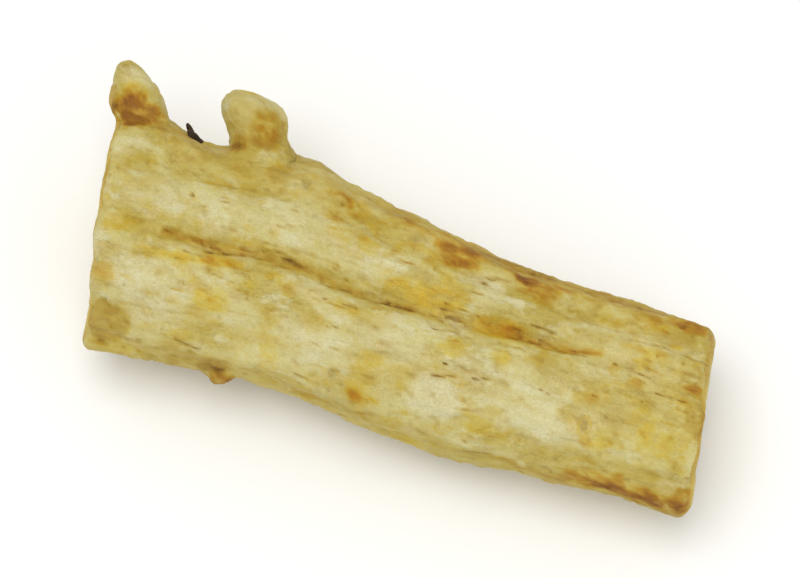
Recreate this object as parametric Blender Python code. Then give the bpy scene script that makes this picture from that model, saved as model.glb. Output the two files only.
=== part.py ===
"""One cut length of dried glehnia root, lying on its side.

The root runs along +X from its crown end, which is the thicker, to its lower end. Both ends are
knife cuts at the same slant. A deep furrow follows the crest, shallower furrows and rootlet scars
cover the rest, and two stubs of side roots stand out of the far flank near the crown. All of it
grew as one piece, so it is one closed solid. It rests on a narrow flat strip along its underside.
"""

import math
from typing import NamedTuple

import bmesh
import bpy
from mathutils import Matrix, Vector, noise

# Lengths are in millimetres and angles in degrees, from the far side (+Y) up over the crest.
# The finished mesh is scaled to metres.
MM = 0.001
NODE = "dried_root"
LENGTH = 33.8
CROWN_SLANT = 0.175  # how far a cut leans towards the crown for each millimetre to the far side
TIP_SLANT = 0.145
RINGS = 80
COLUMNS = 52
END_CROWDING = 0.35  # rings stand closer at the ends, by this share
CREST_CROWDING = 0.42  # columns stand closer at the crest furrow, by this share
STRIP_DEPTH = 0.32  # how far the underside is pressed flat


class Station(NamedTuple):
    """The root's section at one place."""

    along: float
    aside: float  # its middle, towards the far side
    half_width: float
    half_height: float
    lift: float  # its underside above the surface, before the pressing


STATIONS = (
    Station(0.0, 0.62, 6.25, 5.20, 0.30),
    Station(2.0, 0.72, 6.38, 5.25, 0.15),
    Station(5.0, 0.80, 6.25, 5.10, 0.02),
    Station(8.0, 1.00, 6.20, 5.00, 0.00),
    Station(11.0, 1.08, 6.17, 4.95, 0.04),
    Station(13.5, 0.70, 6.00, 4.85, 0.02),
    Station(17.0, 0.30, 5.95, 4.75, 0.00),
    Station(21.0, 0.00, 5.60, 4.60, 0.02),
    Station(25.0, -0.10, 5.32, 4.50, 0.00),
    Station(29.0, 0.00, 5.02, 4.40, 0.10),
    Station(LENGTH, -0.10, 5.00, 4.30, 0.30),
)


class Crest(NamedTuple):
    """The furrow along the crest at one place."""

    along: float
    angle: float
    depth: float
    width: float
    valley: float  # depth of the broad dip on both sides of it


CREST = (
    Crest(0.0, 100.0, 0.10, 0.60, 0.05),
    Crest(4.0, 100.0, 0.25, 0.65, 0.15),
    Crest(8.0, 98.5, 0.55, 0.55, 0.30),
    Crest(12.0, 98.5, 0.60, 0.50, 0.35),
    Crest(16.0, 94.5, 0.60, 0.50, 0.35),
    Crest(20.0, 87.0, 0.65, 0.60, 0.35),
    Crest(24.0, 82.5, 0.70, 0.75, 0.30),
    Crest(28.0, 81.5, 0.45, 0.65, 0.25),
    Crest(31.0, 85.5, 0.35, 0.60, 0.20),
    Crest(LENGTH, 86.5, 0.30, 0.60, 0.15),
)
VALLEY_WIDTH = 2.2


class Furrow(NamedTuple):
    """A shrinkage furrow: where it starts and ends, how deep it is and how wide on each side."""

    start: float
    end: float
    start_angle: float
    end_angle: float
    depth: float
    width: float


FURROWS = (
    Furrow(9.0, 31.0, 128.0, 122.0, 0.22, 0.75),
    Furrow(-2.0, 17.0, 150.0, 143.0, 0.24, 0.80),
    Furrow(18.0, 36.0, 148.0, 156.0, 0.26, 0.80),
    Furrow(2.0, 25.0, 176.0, 181.0, 0.30, 0.95),
    Furrow(-2.0, 15.0, 206.0, 200.0, 0.30, 0.95),
    Furrow(13.0, 36.0, 214.0, 208.0, 0.38, 1.05),
    Furrow(-2.0, 36.0, 238.0, 246.0, 0.34, 1.10),
    Furrow(1.0, 29.0, 304.0, 296.0, 0.38, 1.10),
    Furrow(-2.0, 20.0, 333.0, 324.0, 0.34, 1.05),
    Furrow(14.0, 36.0, 338.0, 350.0, 0.34, 1.00),
    Furrow(8.0, 30.0, 10.0, 3.0, 0.26, 0.90),
    Furrow(11.0, 36.0, 30.0, 24.0, 0.28, 0.85),
    Furrow(-2.0, 14.0, 66.0, 60.0, 0.20, 0.80),
    Furrow(12.0, 36.0, 58.0, 52.0, 0.24, 0.80),
)
FURROW_FADE = 3.0  # length over which a furrow deepens from its ends
FURROW_WANDER = 5.0  # degrees it strays to each side
WANDER_LENGTH = 5.0
FOLD_HEIGHT = 0.45  # of the folds beside a furrow, as a share of its depth
FOLD_DISTANCE = 1.9  # of a fold from the furrow's bottom, as a share of its width


class Scar(NamedTuple):
    """A small rise of the skin, such as the knob of a lost rootlet, or a hollow where it is below 0."""

    along: float
    angle: float
    radius: float
    height: float
    dip: float  # at its middle


SCARS = (
    Scar(11.8, 48.0, 0.95, 0.34, 0.25),
    Scar(18.3, 46.0, 0.85, 0.24, 0.20),
    Scar(22.9, 43.0, 0.80, 0.26, 0.20),
    Scar(16.2, 152.0, 0.95, 0.26, 0.22),
    Scar(29.8, 131.0, 0.70, 0.16, 0.14),
    Scar(27.0, 318.0, 0.95, 0.38, 0.25),
    Scar(9.5, 316.0, 1.05, 0.42, 0.30),
    Scar(21.5, 226.0, 0.90, 0.36, 0.25),
    Scar(4.5, 222.0, 0.80, 0.32, 0.20),
    Scar(31.0, 200.0, 0.75, 0.28, 0.20),
    Scar(17.5, 345.0, 0.80, 0.32, 0.25),
    Scar(1.6, 27.0, 2.20, 0.18, 0.0),  # collars that the two stubs stand on
    Scar(7.9, 27.0, 2.00, 0.10, 0.0),
    Scar(4.5, 19.0, 1.90, -0.60, 0.0),  # dip between the two stubs
    Scar(9.3, 20.0, 0.45, 0.42, 0.0),  # torn skin beside the second stub
    Scar(7.15, 194.0, 0.45, 0.80, 0.0),  # nub of a rootlet on the near edge
    Scar(0.4, 194.0, 1.30, 0.50, 0.0),  # lips at the near corners of both cuts
    Scar(33.4, 196.0, 2.40, 0.34, 0.0),
)
DIP_SHARE = 0.4  # of a scar's radius

SWELL = 0.30  # broad swellings
SWELL_LENGTH = 5.5
RIPPLE = 0.16  # narrow folds, drawn out along the root
RIPPLE_LENGTH = 5.0
RIPPLE_WIDTH = 1.7
CROWN_ROUNDING = 0.35
TIP_ROUNDING = 0.75
TIP_WORN_ANGLES = (40.0, 195.0)
TIP_WORN_SPREAD = 0.9  # radians
TIP_WORN_LEAST = 0.35  # share of the rounding that goes all the way round
CORNER_ANGLE = 196.0  # the crown's near corner, which is drawn out to a point
CORNER_SIZE = 1.3
CORNER_PULL = 0.55
RIM_RAGGED = 0.20
RAG_LENGTH = 1.1
CUT_RINGS = (0.95, 0.82, 0.64, 0.44, 0.22)  # rings of a cut face, as shares of its rim
CUT_DISH = 0.30  # how far the middle of a cut face has shrunk in
CUT_UNEVEN = 0.14
CUT_UNEVEN_LENGTH = 2.2


class Step(NamedTuple):
    """One section of a stub: how far out of the skin it stands, how far back, and its radius."""

    out: float
    back: float
    radius: float


class Stub(NamedTuple):
    """A side root cut or broken short."""

    along: float
    angle: float
    rise: float  # degrees that it points above the level
    half_length: float  # of the patch of skin that it grows from
    half_height: float
    flattening: float  # its section's height as a share of its length
    dome: float  # how far the middle of its tip stands out
    steps: tuple[Step, ...]


STUBS = (
    Stub(
        along=1.35,
        angle=27.0,
        rise=22.0,
        half_length=1.45,
        half_height=1.7,
        flattening=0.90,
        dome=0.12,
        steps=(
            Step(-0.05, 0.32, 1.74),
            Step(0.40, 0.46, 1.66),
            Step(0.90, 0.60, 1.54),
            Step(1.45, 0.84, 1.30),
            Step(1.95, 1.18, 0.98),
            Step(2.32, 1.38, 0.64),
            Step(2.50, 1.48, 0.32),
        ),
    ),
    Stub(
        along=7.85,
        angle=27.0,
        rise=26.0,
        half_length=1.75,
        half_height=1.7,
        flattening=0.88,
        dome=0.10,
        steps=(
            Step(0.00, -0.22, 2.02),
            Step(0.45, 0.08, 1.87),
            Step(1.00, 0.50, 1.74),
            Step(1.60, 0.88, 1.84),
            Step(2.12, 0.93, 1.74),
            Step(2.56, 1.04, 1.36),
            Step(2.78, 1.15, 0.75),
        ),
    ),
)
STUB_UNEVEN = 0.10

SKIN_COLOUR = (0.62, 0.50, 0.20, 1.0)
SKIN_ROUGHNESS = 0.85
SHARP_ANGLE = math.radians(50)


def clear_scene():
    """Removes every object that the scene starts with."""
    for thing in list(bpy.data.objects):
        bpy.data.objects.remove(thing, do_unlink=True)


def smooth_step(share):
    """A share from 0 to 1 that leaves and arrives level."""
    share = min(max(share, 0.0), 1.0)
    return share * share * (3 - 2 * share)


def bell(distance, width):
    """1 at no distance, falling smoothly to nothing past about twice the width."""
    return math.exp(-((distance / width) ** 2))


def read_table(rows, along):
    """The row of a table at a place along the root, on a smooth curve through its rows."""
    last = len(rows) - 1
    low = 0
    while low < last - 1 and rows[low + 1].along <= along:
        low += 1
    before, here, there, after = (rows[min(max(low + k, 0), last)] for k in (-1, 0, 1, 2))
    gap = there.along - here.along
    t = min(max((along - here.along) / gap, 0.0), 1.0)
    slope_scale_here = gap / (there.along - before.along)
    slope_scale_there = gap / (after.along - here.along)
    values = []
    for b, h, n, a in zip(before, here, there, after):
        slope_here = (n - b) * slope_scale_here
        slope_there = (a - h) * slope_scale_there
        values.append(
            h * (2 * t**3 - 3 * t**2 + 1)
            + n * (3 * t**2 - 2 * t**3)
            + slope_here * (t**3 - 2 * t**2 + t)
            + slope_there * (t**3 - t**2)
        )
    return type(here)(*values)


def arc_between(angle, other, radius):
    """Distance round the root from one angle to another, with its sign."""
    turn = (angle - other + 180.0) % 360.0 - 180.0
    return math.radians(turn) * radius


def crest_relief(along, angle, radius):
    """The crest furrow and the broad dip that it lies in."""
    crest = read_table(CREST, along)
    arc = arc_between(angle, crest.angle, radius)
    return -crest.depth * bell(arc, crest.width) - crest.valley * bell(arc, VALLEY_WIDTH)


def furrow_relief(furrow, along, angle, radius):
    """One shrinkage furrow, with the folds that rise on both sides of it."""
    inside = min(along - furrow.start, furrow.end - along)
    if inside <= 0:
        return 0.0
    share = (along - furrow.start) / (furrow.end - furrow.start)
    stray = noise.noise(Vector((along / WANDER_LENGTH, furrow.start_angle, 0.0))) * FURROW_WANDER
    middle = furrow.start_angle + (furrow.end_angle - furrow.start_angle) * share + stray
    arc = arc_between(angle, middle, radius)
    fold = FOLD_HEIGHT * bell(abs(arc) - FOLD_DISTANCE * furrow.width, furrow.width)
    return furrow.depth * (fold - bell(arc, furrow.width)) * smooth_step(inside / FURROW_FADE)


def scar_relief(scar, along, angle, radius):
    """The knob of one rootlet scar, with its dip."""
    distance = math.hypot(along - scar.along, arc_between(angle, scar.angle, radius))
    dip = scar.dip * bell(distance, scar.radius * DIP_SHARE)
    return scar.height * bell(distance, scar.radius) - dip


def uneven_relief(along, angle, radius):
    """Broad swellings, and narrow folds drawn out along the root."""
    turn = math.radians(angle)
    across = Vector((0.0, math.cos(turn) * radius, math.sin(turn) * radius))
    swell = noise.noise(Vector((along / SWELL_LENGTH, 0, 0)) + across / SWELL_LENGTH)
    ripple = noise.noise(Vector((along / RIPPLE_LENGTH, 0, 0)) + across / RIPPLE_WIDTH)
    return SWELL * swell + RIPPLE * ripple


def relief(along, angle, radius):
    """How far the skin stands out of, or in from, the smooth section."""
    total = crest_relief(along, angle, radius) + uneven_relief(along, angle, radius)
    total += sum(furrow_relief(f, along, angle, radius) for f in FURROWS)
    total += sum(scar_relief(s, along, angle, radius) for s in SCARS)
    return total


def rounding(along, angle):
    """How far the skin draws in beside a cut. The lower end is most worn at its two sides."""
    turns = [arc_between(angle, worn_angle, 1.0) for worn_angle in TIP_WORN_ANGLES]
    side = max(bell(turn, TIP_WORN_SPREAD) for turn in turns)
    worn = TIP_ROUNDING * (TIP_WORN_LEAST + (1 - TIP_WORN_LEAST) * side)
    drawn = 0.0
    for from_edge, size in ((along, CROWN_ROUNDING), (LENGTH - along, worn)):
        if from_edge < size:
            drawn += size - math.sqrt(size**2 - (size - from_edge) ** 2)
    return drawn


def skin_point(along, angle):
    """A point of the skin. Along is measured on the middle line, before the slant."""
    station = read_table(STATIONS, along)
    radius = (station.half_width + station.half_height) / 2
    turn = math.radians(angle)
    out = relief(along, angle, radius) - rounding(along, angle)
    y = (station.half_width + out) * math.cos(turn)
    z = (station.half_height + out) * math.sin(turn)
    x = along - (CROWN_SLANT + (TIP_SLANT - CROWN_SLANT) * along / LENGTH) * y
    corner = arc_between(angle, CORNER_ANGLE, radius)
    x -= CORNER_PULL * bell(corner, CORNER_SIZE) * bell(along, CORNER_SIZE)
    return Vector((x, station.aside + y, station.lift + station.half_height + z))


def ring_places():
    """Distances of the rings from the crown, closer together at both ends."""
    places = []
    for i in range(RINGS):
        share = i / (RINGS - 1)
        places.append(LENGTH * (share - END_CROWDING * math.sin(math.tau * share) / math.tau))
    return places


def column_angles(along):
    """Angles of the columns, closest at the crest furrow, which the first column follows."""
    crest = read_table(CREST, along).angle
    angles = []
    for j in range(COLUMNS):
        turn = math.tau * j / COLUMNS
        angles.append(crest + math.degrees(turn - CREST_CROWDING * math.sin(turn)))
    return angles


def build_skin(bm):
    """Rings of vertices joined by quads. Returns the rings and the grid of faces."""
    rings = []
    for along in ring_places():
        rings.append([bm.verts.new(skin_point(along, angle)) for angle in column_angles(along)])
    grid = [join_rings(bm, ring, following) for ring, following in zip(rings, rings[1:])]
    return rings, grid


def close_cut(bm, rim, outward):
    """Closes an end with a cut face that has shrunk in a little at its middle."""
    middle = sum((v.co for v in rim), Vector()) / len(rim)
    outline = [v.co - middle for v in rim]
    outer = rim
    for share in CUT_RINGS:
        neighbours = zip(outline[-1:] + outline[:-1], outline[1:] + outline[:1])
        outline = [(before + after) / 2 for before, after in neighbours]
        inner = []
        for offset in outline:
            place = middle + offset * share
            uneven = noise.noise(place / CUT_UNEVEN_LENGTH) * CUT_UNEVEN
            place.x += outward * (uneven - CUT_DISH * (1 - share**2))
            inner.append(bm.verts.new(place))
        join_rings(bm, outer, inner)
        outer = inner
    close_ring(bm, outer, middle - Vector((outward * CUT_DISH, 0, 0)))


def join_rings(bm, outer, inner):
    """Joins two rings of as many vertices by quads, and returns them in their order."""
    count = len(outer)
    row = []
    for j in range(count):
        k = (j + 1) % count
        row.append(bm.faces.new((outer[j], outer[k], inner[k], inner[j])))
    return row


def close_ring(bm, ring, place):
    """Closes a ring by a fan round one more vertex."""
    hub = bm.verts.new(place)
    for j, vertex in enumerate(ring):
        bm.faces.new((vertex, ring[(j + 1) % len(ring)], hub))


def rag_rim(rim):
    """Moves a rim's vertices along the root, so that the cut's edge isn't a clean line."""
    for vertex in rim:
        vertex.co.x += noise.noise(vertex.co / RAG_LENGTH) * RIM_RAGGED


def nearest_index(values, wanted):
    """The place in a list of the value that is nearest the one wanted."""
    return min(range(len(values)), key=lambda i: abs(values[i] - wanted))


def patch_loop(rings, stub):
    """The vertices round a stub's patch, each with its direction from the patch's middle."""
    angles = column_angles(stub.along)
    radius = read_table(STATIONS, stub.along).half_width
    places = ring_places()
    first = nearest_index(places, stub.along - stub.half_length)
    last = nearest_index(places, stub.along + stub.half_length)
    off = [arc_between(angle, stub.angle, radius) for angle in angles]
    low = nearest_index(off, -stub.half_height)
    high = nearest_index(off, stub.half_height)
    corners = [(i, low) for i in range(first, last)]
    corners += [(last, j) for j in range(low, high)]
    corners += [(i, high) for i in range(last, first, -1)]
    corners += [(first, j) for j in range(high, low, -1)]
    loop = []
    for i, j in corners:
        p = 2 * (i - first) / (last - first) - 1
        q = 2 * (j - low) / (high - low) - 1
        direction = Vector((p * math.sqrt(1 - q * q / 2), q * math.sqrt(1 - p * p / 2)))
        loop.append((rings[i][j], direction.normalized()))
    return loop, range(first, last), range(low, high)


def grow_stub(bm, rings, grid, stub):
    """Replaces a patch of the far flank by the stub of a side root."""
    loop, rows, columns = patch_loop(rings, stub)
    patch = [grid[i][j] for i in rows for j in columns]
    bmesh.ops.delete(bm, geom=patch, context="FACES")
    base = skin_point(stub.along, stub.angle)
    rise = math.radians(stub.rise)
    out = Vector((0, math.cos(rise), math.sin(rise)))
    upward = Vector((0, -math.sin(rise), math.cos(rise)))
    outer = [vertex for vertex, _ in loop]
    for step in stub.steps:
        middle = base + out * step.out - Vector((step.back, 0, 0))
        inner = []
        for _, direction in loop:
            place = middle + Vector((direction.x * step.radius, 0, 0))
            place += upward * (direction.y * step.radius * stub.flattening)
            place += out * noise.noise(place / RAG_LENGTH) * STUB_UNEVEN
            inner.append(bm.verts.new(place))
        join_rings(bm, outer, inner)
        outer = inner
    close_ring(bm, outer, middle + out * stub.dome)


def press_underside(bm):
    """Presses the lowest skin flat, where the root rests."""
    lowest = min(v.co.z for v in bm.verts)
    for v in bm.verts:
        v.co.z = max(v.co.z - lowest - STRIP_DEPTH, 0.0)


def centre_on_footprint(bm):
    """Puts the origin under the middle of the root's box."""
    for axis in (0, 1):
        values = [v.co[axis] for v in bm.verts]
        middle = (min(values) + max(values)) / 2
        for v in bm.verts:
            v.co[axis] -= middle


def skin_material():
    """Cream, matte and faintly waxy."""
    material = bpy.data.materials.new("dried_root_skin")
    material.use_nodes = True
    shader = material.node_tree.nodes["Principled BSDF"]
    shader.inputs["Base Color"].default_value = SKIN_COLOUR
    shader.inputs["Roughness"].default_value = SKIN_ROUGHNESS
    shader.inputs["Metallic"].default_value = 0.0
    return material


def build_root():
    """Makes the root as one object."""
    bm = bmesh.new()
    rings, grid = build_skin(bm)
    for rim, outward in ((rings[0], -1), (rings[-1], 1)):
        rag_rim(rim)
        close_cut(bm, rim, outward)
    for stub in STUBS:
        grow_stub(bm, rings, grid, stub)
    press_underside(bm)
    centre_on_footprint(bm)
    bmesh.ops.recalc_face_normals(bm, faces=bm.faces)
    mesh = bpy.data.meshes.new(NODE)
    bm.to_mesh(mesh)
    bm.free()
    mesh.transform(Matrix.Scale(MM, 4))
    mesh.shade_smooth()
    mesh.set_sharp_from_angle(angle=SHARP_ANGLE)
    mesh.materials.append(skin_material())
    root = bpy.data.objects.new(NODE, mesh)
    bpy.context.scene.collection.objects.link(root)
    return root


clear_scene()
build_root()
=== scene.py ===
"""A cut length of dried glehnia root, finished for its portrait.

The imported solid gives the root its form. Here it gets its fine skin, with wrinkles, rootlet
scars, stains and two cut ends, and the scraps of rootlets and torn skin that still cling to it.
It lies on a plain pale floor in soft studio light.
"""

import logging
import math
import random
from collections.abc import Iterator
from dataclasses import dataclass, field
from enum import Enum

import bpy
import numpy as np
from mathutils import Matrix, Vector, noise
from mathutils.bvhtree import BVHTree


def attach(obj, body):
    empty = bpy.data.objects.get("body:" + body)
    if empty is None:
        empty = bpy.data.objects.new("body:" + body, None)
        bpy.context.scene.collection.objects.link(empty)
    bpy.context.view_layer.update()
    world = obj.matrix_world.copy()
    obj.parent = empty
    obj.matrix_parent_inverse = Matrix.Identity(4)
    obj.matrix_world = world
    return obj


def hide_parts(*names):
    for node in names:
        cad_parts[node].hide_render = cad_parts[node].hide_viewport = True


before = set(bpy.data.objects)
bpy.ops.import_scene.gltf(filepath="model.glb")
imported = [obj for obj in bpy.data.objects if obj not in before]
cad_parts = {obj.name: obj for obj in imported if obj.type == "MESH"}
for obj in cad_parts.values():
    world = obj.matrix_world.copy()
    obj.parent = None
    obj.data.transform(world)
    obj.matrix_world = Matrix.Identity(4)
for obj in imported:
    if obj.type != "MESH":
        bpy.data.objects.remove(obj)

log = logging.getLogger("dried_root")

MM = 0.001
NODE = "dried_root"
BODY = "root"

Pair = tuple[float, float]
Triple = tuple[float, float, float]
Colour = tuple[float, float, float, float]
Wave = tuple[float, float, float, float]  # height, size along and across the root, shift
Socket = bpy.types.NodeSocket
WHITE: Colour = (1.0, 1.0, 1.0, 1.0)


def linear(red: int, green: int, blue: int) -> Colour:
    """Turns a screen colour of 0 to 255 into the linear one that materials use, opaque."""
    parts = (red / 255, green / 255, blue / 255)
    return *(p / 12.92 if p <= 0.04045 else ((p + 0.055) / 1.055) ** 2.4 for p in parts), 1.0


def ease(value: np.ndarray, low: float | np.ndarray, high: float | np.ndarray) -> np.ndarray:
    """Eases values from 0 at the low one to 1 at the high one, which may be the smaller."""
    held = np.clip((value - low) / (high - low), 0.0, 1.0)
    return held * held * (3 - 2 * held)


def deselect() -> None:
    if bpy.context.object and bpy.context.object.mode != "OBJECT":
        bpy.ops.object.mode_set(mode="OBJECT")
    bpy.ops.object.select_all(action="DESELECT")


def refine(piece: bpy.types.Object, levels: int) -> None:
    """Subdivides the active piece and shades it smooth.

    Args:
        piece: The piece.
        levels: How often each face is divided.
    """
    finer = piece.modifiers.new("finer", "SUBSURF")
    finer.levels = finer.render_levels = levels
    bpy.ops.object.modifier_apply(modifier=finer.name)
    bpy.ops.object.shade_smooth()


class Tint(Enum):
    """The colours that the skin has in places, each a vertex attribute of the same name."""

    GOLD = "gold"
    OCHRE = "ochre"
    RUST = "rust"
    UMBER = "umber"
    CHALK = "chalk"


class Side(Enum):
    """How a mark's place is read."""

    SEEN = "seen"  # along and across the root in millimetres, as the camera sees it
    ROUND = "round"  # along in millimetres, and round from the far side in degrees


@dataclass(frozen=True)
class Sight:
    """The camera's stand, from which the seen places on the root are read.

    Such a place is in millimetres along the root from the middle of its crown end, and across it
    towards the far side.
    """

    azimuth: float = 17.66
    elevation: float = 70.0
    distance: float = 0.3
    lens: float = 252.0
    sensor: float = 36.0
    clip: Pair = (0.01, 5.0)
    aim: Triple = (-0.00021, 0.00045, 0.00515)
    crown: Pair = (-15.975, 2.4)  # millimetres to the right of the aim, and up, in the view
    fall: float = 16.65  # degrees that the root's length falls to the right

    @property
    def turn(self) -> Pair:
        """The sine and the cosine of the azimuth."""
        return math.sin(math.radians(self.azimuth)), math.cos(math.radians(self.azimuth))

    @property
    def back(self) -> Vector:
        """The direction from the root to the camera."""
        (sine, cosine), rise = self.turn, math.radians(self.elevation)
        return Vector((sine * math.cos(rise), -cosine * math.cos(rise), math.sin(rise)))

    @property
    def right(self) -> Vector:
        """The camera's right."""
        sine, cosine = self.turn
        return Vector((cosine, sine, 0.0))

    @property
    def eye(self) -> Vector:
        """Where the camera stands."""
        return Vector(self.aim) + self.back * self.distance

    def ray(self, along: float, across: float) -> Vector:
        """Points from the camera at a seen place.

        Args:
            along: Millimetres along the root from its crown end.
            across: Millimetres towards the far side.

        Returns:
            The direction from the camera.
        """
        fall = math.radians(self.fall)
        right = self.crown[0] + along * math.cos(fall) + across * math.sin(fall)
        up = self.crown[1] - along * math.sin(fall) + across * math.cos(fall)
        upward = self.back.cross(self.right)
        target = Vector(self.aim) + (self.right * right + upward * up) * MM
        return (target - self.eye).normalized()

    def camera(self) -> None:
        """Sets up the camera and makes it the scene's."""
        deselect()
        turn = (-self.back).to_track_quat("-Z", "Y").to_euler()
        bpy.ops.object.camera_add(location=self.eye, rotation=turn)
        camera = bpy.context.object
        camera.name = "portrait_camera"
        camera.data.lens = self.lens
        camera.data.sensor_width = self.sensor
        camera.data.clip_start, camera.data.clip_end = self.clip
        camera.data.dof.use_dof = False
        bpy.context.scene.camera = camera


@dataclass(frozen=True)
class Blot:
    """A patch of colour on the skin, and how far it stands out or has sunk in."""

    tint: Tint
    along: float
    across: float
    length: float  # half its extent along the root, in millimetres
    width: float
    strength: float = 0.7
    lift: float = 0.0  # millimetres out of the skin, or into it
    edge: float = 0.9  # softness of its edge, as a share of its size
    ragged: float = 0.55
    uneven: float = 1.0  # how much its strength varies inside it
    side: Side = Side.SEEN


@dataclass(frozen=True)
class Streak:
    """A line of colour along the skin, which may be a crack, and may be broken into dots."""

    tint: Tint
    path: tuple[Pair, ...]
    width: float  # half its width in millimetres
    strength: float = 0.7
    depth: float = 0.0
    broken: float = 0.0
    side: Side = Side.SEEN


@dataclass(frozen=True)
class Checks:
    """Short fine cracks scattered beside a seen line, nearly along it."""

    line: tuple[Pair, ...]
    spread: float  # millimetres to either side
    count: int
    seed: int
    tints: tuple[Tint, ...] = (Tint.UMBER, Tint.UMBER, Tint.RUST)
    half: Pair = (0.25, 1.0)  # half a crack's length, at least and at most
    slope: float = 0.16
    width: Pair = (0.05, 0.09)
    strength: Pair = (0.28, 0.62)
    depth: float = 0.04
    broken: float = 0.2

    def streaks(self) -> Iterator[Streak]:
        """Draws the cracks.

        Yields:
            Each crack.
        """
        chance = random.Random(self.seed)
        first, last = self.line[0][0], self.line[-1][0]
        for _ in range(self.count):
            along = chance.uniform(first, last)
            offset = chance.gauss(0.0, 0.5) * self.spread
            across = float(np.interp(along, *zip(*self.line))) + offset
            half = chance.uniform(*self.half)
            rise = chance.uniform(-self.slope, self.slope) * half
            tint = chance.choice(self.tints)
            path = ((along - half, across - rise), (along + half, across + rise))
            width, strength = chance.uniform(*self.width), chance.uniform(*self.strength)
            yield Streak(tint, path, width, strength, self.depth, self.broken)


@dataclass(frozen=True)
class Scar:
    """A ring that a rootlet left: a raised brown edge round a darker pit."""

    along: float
    across: float
    radius: float
    strength: float = 0.7
    lift: float = 0.08
    pit: float = 0.18
    side: Side = Side.ROUND


@dataclass(frozen=True)
class Scrap:
    """One crumb of dry rootlet or flake of skin: where it grows, its size and its lean."""

    along: float
    across: float
    length: float
    radius: float
    lean: float  # degrees from the skin's normal
    aside: float  # degrees that it leans from the root's length
    curl: float  # degrees that each step turns
    flatness: float = 1.0
    dark: float = 1.0  # 1 for dead rootlet, 0 for skin
    side: Side = Side.SEEN


def marks(kind: type, tint: Tint, *rows: tuple, **shared: object) -> tuple:
    """Makes marks of one kind and tint, each from a row of its other values in their order."""
    return tuple(kind(tint, *row, **shared) for row in rows)


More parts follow.
